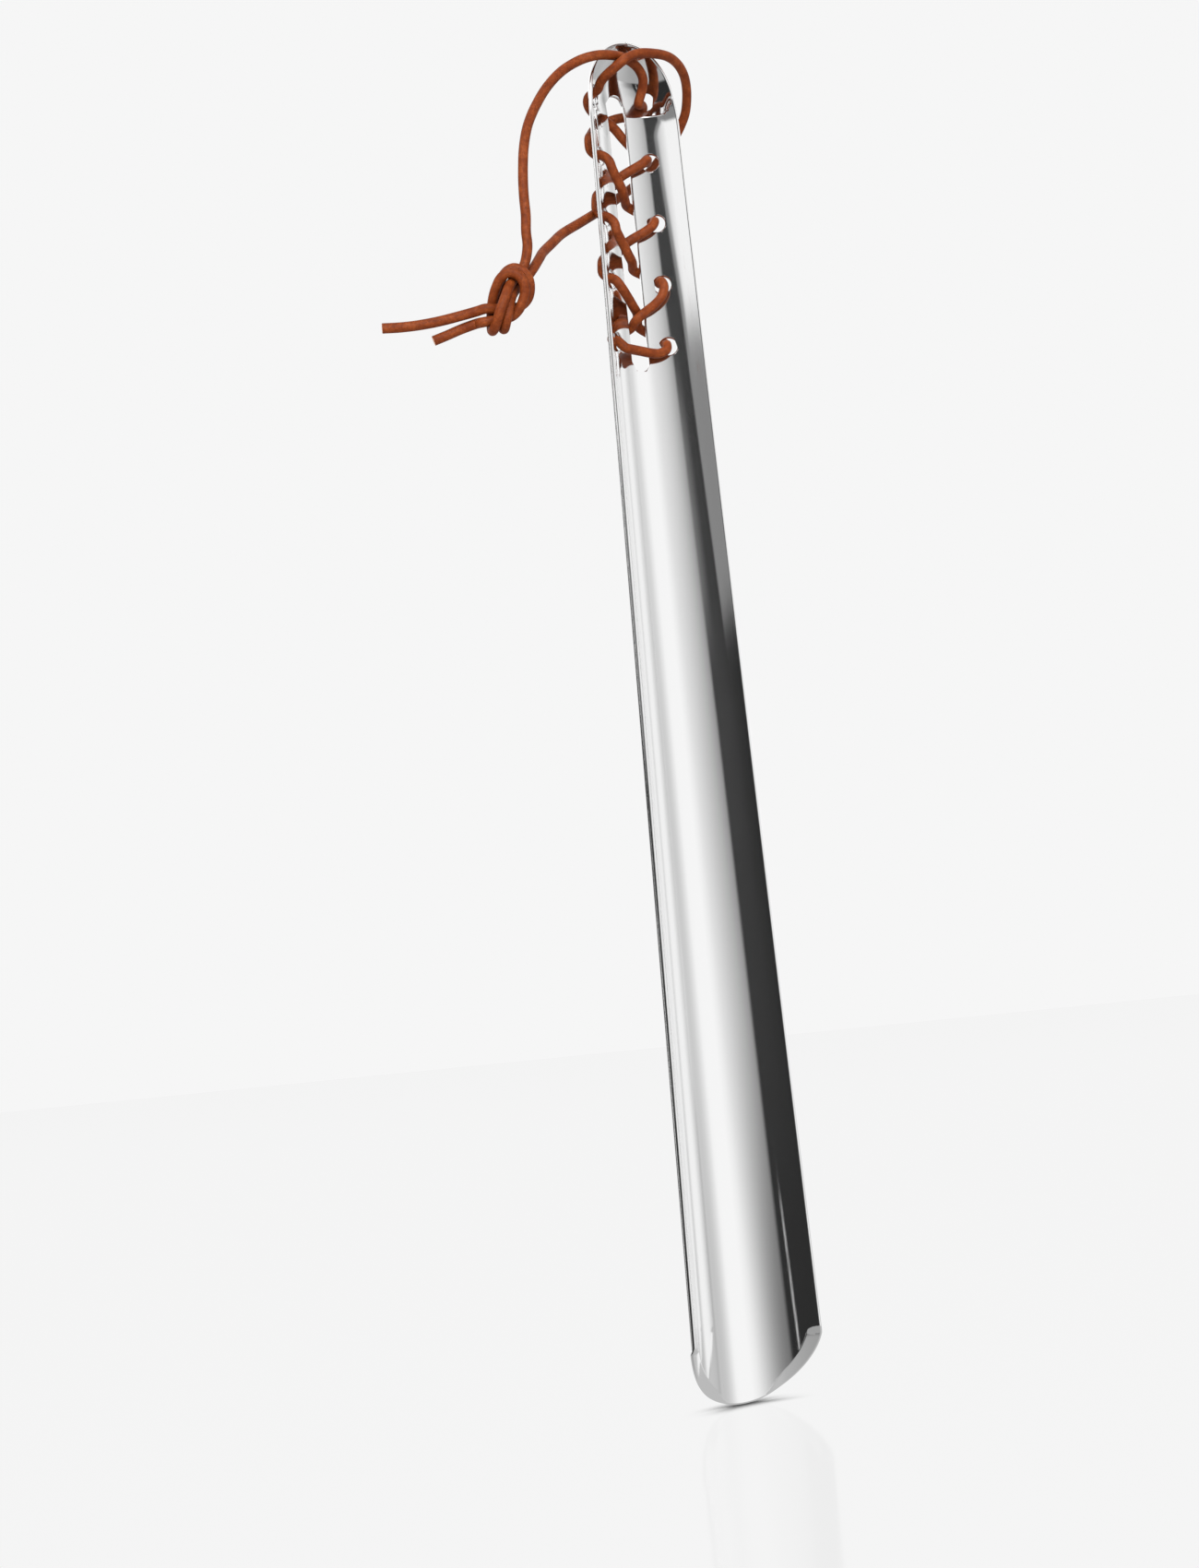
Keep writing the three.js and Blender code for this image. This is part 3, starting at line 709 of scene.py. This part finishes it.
def make_laces():
    """The whole lace as one line, made as three pieces that meet in the holes of the first row.

    Gives each piece with its centre line and its length, in millimetres.
    """
    grip = grip_points()
    right = [np.array(p) for p in (*RIGHT_STRAND, *RIGHT_KNOT, *SHORT_TAIL)][::-1]
    left = [np.array(p) for p in (*LEFT_STRAND, *LEFT_KNOT, *LONG_TAIL)]
    line = smooth_line(right + grip + left)
    first = len(right) * LINE_PARTS
    last = first + (len(grip) - 1) * LINE_PARTS
    right_line = even_steps(line[: first + 1])
    grip_line = even_steps(line[first : last + 1])
    left_line = even_steps(line[last:])
    whole = np.concatenate([right_line, grip_line[1:], left_line[1:]])
    ahead, sides, ups = lace_rings(whole)
    start = len(right_line) - 1
    end = start + len(grip_line) - 1
    pieces = []
    for name, low, high, *cuts in (
        ("lace_right", 0, start, True, False),
        ("lace_grip", start, end, False, False),
        ("lace_left", end, len(whole) - 1, False, True),
    ):
        part = slice(low, high + 1)
        begin = low * LACE_STEP
        lace = make_lace(name, whole[part], ahead[part], sides[part], ups[part], begin, *cuts)
        length = float(np.sum(np.linalg.norm(np.diff(whole[part], axis=0), axis=1)))
        pieces.append((lace, whole[part], length))
    return pieces


# Materials. Greys and colours are display values from 0 to 255.

STEEL_TINT = (0.95, 0.95, 0.95, 1.0)
STEEL_ROUGHNESS = (0.035, 0.075)  # its smoothest and its dullest
BRUSHING = (9000, 60, 1)  # how fine the faint unevenness is across and along the sheet
LEATHER_TINTS = ((0.32, (106, 44, 13)), (0.5, (122, 55, 20)), (0.68, (142, 70, 30)))
LEATHER_SHADE = (0.55, 1.35)  # what the grain multiplies them by, from its dark spots to its light ones
GRAIN_RANGE = (0.3, 0.7)
LEATHER_ROUGHNESS = (0.42, 0.62)
LEATHER_SHEEN = 0.14
PATCHES = {"Scale": 320, "Detail": 4, "Roughness": 0.75}
GRAIN = {"Scale": 950, "Detail": 5, "Roughness": 0.7}
GRAIN_SHARE = 0.55  # how much of the grain shows, and of the streaks along the lace
STREAK_SHARE = 0.35
STREAKS = (140, 7, 1)
CUT_TINTS = ((0.0, (196, 138, 108)), (1.0, (240, 196, 168)))
CUT_ROUGHNESS = 0.8
FIBRES = 1400


def node(tree, kind, place, inputs=(), **values):
    """A new node with these attributes, and these values in the inputs of those names."""
    made = tree.nodes.new(kind)
    made.location = place
    for key, value in values.items():
        setattr(made, key, value)
    for key, value in dict(inputs).items():
        made.inputs[key].default_value = value
    return made


def linear(grey):
    """A display grey from 0 to 255 as a linear value."""
    c = grey / 255
    return c / 12.92 if c <= 0.04045 else ((c + 0.055) / 1.055) ** 2.4


def set_ramp(made, stops):
    """Gives a colour ramp these stops, each a position and its display colour."""
    elements = made.color_ramp.elements
    for element, (position, _) in zip(elements, (stops[0], stops[-1])):
        element.position = position
    for position, _ in stops[1:-1]:
        elements.new(position)
    for element, (_, colour) in zip(elements, stops):
        element.color = (*(linear(c) for c in colour), 1.0)


def onto(low_high):
    """A map range node's inputs for the values that it gives."""
    return {"To Min": low_high[0], "To Max": low_high[1]}


def new_material(name):
    material = bpy.data.materials.new(name)
    material.use_nodes = True
    tree = material.node_tree
    shader = tree.nodes["Principled BSDF"]
    return material, tree, shader


def steel_material():
    material, tree, shader = new_material("polished_steel")
    link = tree.links.new
    shader.inputs["Metallic"].default_value = 1.0
    shader.inputs["Base Color"].default_value = STEEL_TINT
    uv = node(tree, "ShaderNodeUVMap", (-1000, 0), uv_map="sheet")
    stretch = node(tree, "ShaderNodeMapping", (-800, 0), {"Scale": BRUSHING})
    brush = node(tree, "ShaderNodeTexNoise", (-600, 0), {"Scale": 1.0, "Detail": 2.0})
    rough = node(tree, "ShaderNodeMapRange", (-400, 100), onto(STEEL_ROUGHNESS))
    bump = node(tree, "ShaderNodeBump", (-400, -150), {"Strength": 0.015, "Distance": 0.0002})
    link(uv.outputs[0], stretch.inputs[0])
    link(stretch.outputs[0], brush.inputs["Vector"])
    link(brush.outputs[0], rough.inputs[0])
    link(brush.outputs[0], bump.inputs["Height"])
    link(rough.outputs[0], shader.inputs["Roughness"])
    link(bump.outputs[0], shader.inputs["Normal"])
    return material


def leather_material():
    material, tree, shader = new_material("lace_leather")
    link = tree.links.new
    shader.inputs["Specular IOR Level"].default_value = LEATHER_SHEEN
    place = node(tree, "ShaderNodeTexCoord", (-1500, 0))
    uv = node(tree, "ShaderNodeUVMap", (-1500, -400), uv_map="lace")
    patches = node(tree, "ShaderNodeTexNoise", (-1200, 300), PATCHES)
    grain = node(tree, "ShaderNodeTexNoise", (-1200, 0), GRAIN)
    stretch = node(tree, "ShaderNodeMapping", (-1300, -400), {"Scale": STREAKS})
    streaks = node(tree, "ShaderNodeTexNoise", (-1100, -400), {"Scale": 1.0, "Detail": 3})
    tint = node(tree, "ShaderNodeValToRGB", (-900, 300))
    set_ramp(tint, LEATHER_TINTS)
    shade = node(tree, "ShaderNodeMapRange", (-900, 0),
                 {"From Min": GRAIN_RANGE[0], "From Max": GRAIN_RANGE[1], **onto(LEATHER_SHADE)})
    grained = node(tree, "ShaderNodeMix", (-600, 200), data_type="RGBA", blend_type="MULTIPLY")
    grained.inputs["Factor"].default_value = GRAIN_SHARE
    streaked = node(tree, "ShaderNodeMix", (-400, 100), data_type="RGBA", blend_type="MULTIPLY")
    streaked.inputs["Factor"].default_value = STREAK_SHARE
    bump = node(tree, "ShaderNodeBump", (-400, -300), {"Strength": 0.35, "Distance": 0.00015})
    rough = node(tree, "ShaderNodeMapRange", (-600, -100), onto(LEATHER_ROUGHNESS))
    link(place.outputs["Object"], patches.inputs["Vector"])
    link(place.outputs["Object"], grain.inputs["Vector"])
    link(uv.outputs[0], stretch.inputs[0])
    link(stretch.outputs[0], streaks.inputs["Vector"])
    link(patches.outputs[0], tint.inputs[0])
    link(grain.outputs[0], shade.inputs[0])
    for mixer, below, above in ((grained, tint.outputs[0], shade), (streaked, grained.outputs[2], streaks)):
        link(below, mixer.inputs[6])  # the colours A and B
        link(above.outputs[0], mixer.inputs[7])
    link(streaked.outputs[2], shader.inputs["Base Color"])
    link(grain.outputs[0], bump.inputs["Height"])
    link(bump.outputs[0], shader.inputs["Normal"])
    link(grain.outputs[0], rough.inputs[0])
    link(rough.outputs[0], shader.inputs["Roughness"])
    return material


def cut_material():
    material, tree, shader = new_material("lace_cut")
    place = node(tree, "ShaderNodeTexCoord", (-900, 0))
    fibres = node(tree, "ShaderNodeTexNoise", (-700, 0), {"Scale": FIBRES})
    tint = node(tree, "ShaderNodeValToRGB", (-450, 0))
    set_ramp(tint, CUT_TINTS)
    tree.links.new(place.outputs["Object"], fibres.inputs["Vector"])
    tree.links.new(fibres.outputs[0], tint.inputs[0])
    tree.links.new(tint.outputs[0], shader.inputs["Base Color"])
    shader.inputs["Roughness"].default_value = CUT_ROUGHNESS
    return material


# The studio: soft light from all round, which the polished steel mirrors as pale walls, a dark panel
# and a grey panel. Azimuths are in degrees from +Y towards +X, elevations in degrees. A pair of them
# is where something comes in or ends, softly.
BACKGROUND = 246
PALE_WALLS = (
    (0, 246), (60, 246), (95, 243), (105, 236), (111, 208), (116, 206), (122, 213), (128, 228),
    (136, 249), (142, 251), (157, 251), (164, 243), (173, 226), (182, 211), (191, 195), (200, 178),
    (208, 158), (216, 132), (240, 190), (258, 228), (300, 238), (340, 246),
)  # azimuths and greys
HIGH_UP = (4, 16)
NEAR_FLOOR = (-9, 1)
RIGHT_SIDE = (165, 205)
LEFT_SIDE = (124, 140)
RIGHT_CHANGE = (0.2, 0.5)  # how much lighter each side is high up, and how much darker near the floor
LEFT_CHANGE = (0.12, 0.1)
CORNER_SIDE = (108, 112)  # a darker corner, low down on the left
CORNER_TOP = (-3, 0)
CORNER_DARKER = 0.3
ROUND_TO_BACK = (300, 330)  # where what is on the right ends towards the back

DARK_GREY = 44
DARK_EDGE = 208.5  # the dark panel's left edge, and how it moves with the elevation
DARK_EDGE_MOVES = 6.5
DARK_EDGE_MOVES_OVER = (-14, 10)
DARK_EDGE_BACK = 3.5
DARK_EDGE_BACK_OVER = (16, 18)
DARK_EDGE_SOFT = 2.5
DARK_RIGHT = (244, 248)
DARK_WIDE_TOP = (8.2, 9.6)  # below this the dark panel reaches round to the back
LEANS = ((9, 0.4), (17, 2.6))  # from each elevation on, the right edges lean by this much per degree
GLOW_SIDE = (213, 232)  # a little light in the dark panel's upper left part
GLOW_BOTTOM, GLOW_TOP = (8, 11), (14, 17)
GLOW = 0.12

MID_GREY = 133
MID_TOP = (15.6, 17.2)
MID_LEFT, MID_RIGHT = (218, 222), (250, 256)

FLOOR_LINE = (-17, -13)
FLOOR_GREY, FLOOR_DARK = 190, 160
FLOOR_DARK_LEFT, FLOOR_DARK_RIGHT = (150, 225), (275, 300)
SLIT_GREY = 200
SLIT_LEFT, SLIT_RIGHT = (218.4, 219), (219.8, 220.4)
SLIT_BOTTOM, SLIT_TOP = (-14, -13), (-5.6, -5.0)

SHINE = 2.5  # a small bright lamp in the mirrored studio
SHINE_WAY = Vector((-0.5, -0.5, 0.7)).normalized()
SHINE_SPREAD = (0.94, 0.99)
KEY_LIGHT = 6.2  # the large lamp and the light from all round that the leather is lit by
KEY_WAY = Vector((-0.5, -0.84, 0.16)).normalized()
KEY_SPREAD = (0.55, 1.0)
FILL_LIGHT = 0.2

# The floor's painted contact shadow: its glow is darkened close to the steel, where the steel hides the
# sky.
PAINTED_SHADOW_REACH = 0.009  # how far from the steel the floor darkens, in metres
PAINTED_SHADOW_OPEN = (0.45, 0.97)  # the shares of open sky between which it does
# the glow of the painted contact shadow where it is darkest, under the tip
PAINTED_SHADOW_DARKEST = 0.03
FLOOR_GLOSS = 0.08
FLOOR_ROUGHNESS = 0.08
FLOOR_NEAR, FLOOR_FAR = 20.0, 30.0  # unequal, to keep the diagonal of the quad out of view


def make_world():
    """The studio as a world shader, which works out a grey for each way from the object."""
    world = bpy.data.worlds.new("studio")
    bpy.context.scene.world = world
    world.use_nodes = True
    tree = world.node_tree
    tree.nodes.clear()
    link = tree.links.new

    def maths(operation, a, b=None, c=None):
        made = node(tree, "ShaderNodeMath", (0, 0), operation=operation)
        for socket, value in zip(made.inputs, (a, b, c)):
            if value is None:
                continue
            if isinstance(value, (int, float)):
                socket.default_value = value
            else:
                link(value, socket)
        return made.outputs[0]

    def ease(value, low, high):
        """0 up to low, 1 from high on."""
        made = node(tree, "ShaderNodeMapRange", (0, 0), {"From Min": low, "From Max": high},
                    interpolation_type="SMOOTHSTEP")
        link(value, made.inputs[0])
        return made.outputs[0]

    def fading(value, low, high):
        """1 up to low, 0 from high on."""
        return maths("SUBTRACT", 1.0, ease(value, low, high))

    def both(a, b):
        return maths("MULTIPLY", a, b)

    def blend(factor, a, b):
        """a where the factor is 0, b where it is 1."""
        return maths("ADD", both(a, maths("SUBTRACT", 1.0, factor)), both(b, factor))

    way = node(tree, "ShaderNodeTexCoord", (0, 0))
    split = node(tree, "ShaderNodeSeparateXYZ", (0, 0))
    link(way.outputs["Generated"], split.inputs[0])
    x, y, z = split.outputs
    turn = maths("FRACT", maths("DIVIDE", maths("ARCTAN2", x, y), 2 * math.pi))
    azimuth = both(turn, 360.0)
    elevation = both(maths("ARCSINE", z), 180 / math.pi)

    def towards(direction):
        """How closely a way agrees with a direction: 1 along it."""
        return maths("ADD", both(x, direction.x), maths("ADD", both(y, direction.y), both(z, direction.z)))

    walls = node(tree, "ShaderNodeValToRGB", (0, 0))
    all_round = (*PALE_WALLS, (360, BACKGROUND))
    set_ramp(walls, [(degrees / 360, (grey,) * 3) for degrees, grey in all_round])
    link(turn, walls.inputs[0])
    pale = maths("ADD", walls.outputs[0], 0.0)  # the colour as a plain value

    # The pale walls: their grey sides are lighter high up and darker near the floor
    high_up, near_floor = ease(elevation, *HIGH_UP), fading(elevation, *NEAR_FLOOR)
    for side, (lighter, darker) in (
        (ease(azimuth, *RIGHT_SIDE), RIGHT_CHANGE),
        (fading(azimuth, *LEFT_SIDE), LEFT_CHANGE),
    ):
        change = maths("SUBTRACT", both(high_up, lighter), both(near_floor, darker))
        pale = both(pale, maths("MULTIPLY_ADD", side, change, 1.0))
    corner = both(fading(azimuth, *CORNER_SIDE), fading(elevation, *CORNER_TOP))
    pale = both(pale, maths("MULTIPLY_ADD", corner, -CORNER_DARKER, 1.0))

    # The dark panel: its left edge moves a little with height, and its right edge leans above
    moved = maths("MULTIPLY_ADD", ease(elevation, *DARK_EDGE_MOVES_OVER), DARK_EDGE_MOVES, DARK_EDGE)
    edge = maths("SUBTRACT", moved, both(ease(elevation, *DARK_EDGE_BACK_OVER), DARK_EDGE_BACK))
    past_edge = ease(maths("SUBTRACT", azimuth, edge), -DARK_EDGE_SOFT, DARK_EDGE_SOFT)
    leaning = azimuth
    for start, slope in LEANS:
        over = maths("MAXIMUM", maths("SUBTRACT", elevation, start), 0.0)
        leaning = maths("MULTIPLY_ADD", over, slope, leaning)
    wide = both(fading(elevation, *DARK_WIDE_TOP), fading(azimuth, *ROUND_TO_BACK))
    before_end = maths("MAXIMUM", fading(leaning, *DARK_RIGHT), wide)
    dark = both(both(past_edge, before_end), ease(elevation, *FLOOR_LINE))
    glow = both(ease(elevation, *GLOW_BOTTOM), fading(elevation, *GLOW_TOP))
    glow = both(fading(azimuth, *GLOW_SIDE), glow)
    dark_grey = maths("MULTIPLY_ADD", glow, GLOW, linear(DARK_GREY))

    # The grey panel beside and above it
    grey = both(fading(elevation, *MID_TOP), fading(azimuth, *ROUND_TO_BACK))
    grey = maths("MAXIMUM", grey, fading(leaning, *MID_RIGHT))
    grey = both(grey, ease(azimuth, *MID_LEFT))

    # Below: a pale floor that is darker under the dark panel, and a thin bright slit over it
    below = fading(elevation, *FLOOR_LINE)
    under_dark = both(ease(azimuth, *FLOOR_DARK_LEFT), fading(azimuth, *FLOOR_DARK_RIGHT))
    floor_grey = blend(under_dark, linear(FLOOR_GREY), linear(FLOOR_DARK))
    slit = both(ease(azimuth, *SLIT_LEFT), fading(azimuth, *SLIT_RIGHT))
    slit = both(slit, both(fading(elevation, *SLIT_TOP), ease(elevation, *SLIT_BOTTOM)))

    seen = blend(grey, pale, linear(MID_GREY))
    seen = blend(below, seen, floor_grey)
    seen = blend(dark, seen, dark_grey)
    seen = blend(slit, seen, linear(SLIT_GREY))
    seen = maths("MULTIPLY_ADD", ease(towards(SHINE_WAY), *SHINE_SPREAD), SHINE, seen)
    soft = maths("MULTIPLY_ADD", ease(towards(KEY_WAY), *KEY_SPREAD), KEY_LIGHT, FILL_LIGHT)

    # Mirrored rays see the panels, other rays only the lamp, and the camera a plain background
    paths = node(tree, "ShaderNodeLightPath", (0, 0))
    light = blend(paths.outputs["Is Glossy Ray"], soft, seen)
    light = blend(paths.outputs["Is Camera Ray"], light, linear(BACKGROUND))
    background = node(tree, "ShaderNodeBackground", (0, 0))
    output = node(tree, "ShaderNodeOutputWorld", (0, 0))
    link(light, background.inputs["Color"])
    link(background.outputs[0], output.inputs[0])


def make_floor(level):
    """A floor that glows like the background, with a painted contact shadow that darkens its glow close to
    the steel, and is faintly glossy.
    """
    mesh = bpy.data.meshes.new("floor")
    near, far = FLOOR_NEAR, FLOOR_FAR
    corners = ((-near, -far), (far, -far), (far, near), (-near, near))
    mesh.from_pydata([(x, y, level) for x, y in corners], [], [(0, 1, 2, 3)])
    floor = bpy.data.objects.new("floor", mesh)
    bpy.context.scene.collection.objects.link(floor)
    floor.visible_glossy = False
    material, tree, shader = new_material("floor")
    tree.nodes.remove(shader)
    link = tree.links.new
    # Painted contact shadow: the occlusion close to the steel darkens the floor's glow
    painted_shadow_occlusion = node(tree, "ShaderNodeAmbientOcclusion", (-900, 100), {"Distance": PAINTED_SHADOW_REACH})
    shade = node(tree, "ShaderNodeMapRange", (-700, 100), interpolation_type="SMOOTHSTEP", inputs={
        "From Min": PAINTED_SHADOW_OPEN[0], "From Max": PAINTED_SHADOW_OPEN[1],
        "To Min": PAINTED_SHADOW_DARKEST, "To Max": linear(BACKGROUND),
    })
    glowing = node(tree, "ShaderNodeEmission", (-300, 100))
    gloss = node(tree, "ShaderNodeBsdfGlossy", (-300, -100), {"Roughness": FLOOR_ROUGHNESS})
    mix = node(tree, "ShaderNodeMixShader", (-100, 0))
    mix.inputs[0].default_value = FLOOR_GLOSS
    link(painted_shadow_occlusion.outputs["AO"], shade.inputs[0])
    link(shade.outputs[0], glowing.inputs["Color"])
    link(glowing.outputs[0], mix.inputs[1])
    link(gloss.outputs[0], mix.inputs[2])
    link(mix.outputs[0], tree.nodes["Material Output"].inputs[0])
    mesh.materials.append(material)


make_camera()
leather, cut = leather_material(), cut_material()
pieces = make_laces()
for lace, _, _ in pieces:
    lace.data.materials.append(leather)
    lace.data.materials.append(cut)
    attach(lace, BODY)
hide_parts("loop_strand_right", "lace_tail_short", "loop_knot")
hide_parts("grip_lace")
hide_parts("loop_strand_left", "lace_tail_long")

steel = make_steel()
steel.data.materials.append(steel_material())
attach(steel, BODY)
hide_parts("steel_body")

make_world()
make_floor(TIP * MM)
bpy.context.scene.view_settings.view_transform = "Standard"
# Enough for what one side of the trough mirrors of the other
bpy.context.scene.cycles.glossy_bounces = 16
bpy.context.scene.cycles.max_bounces = 20
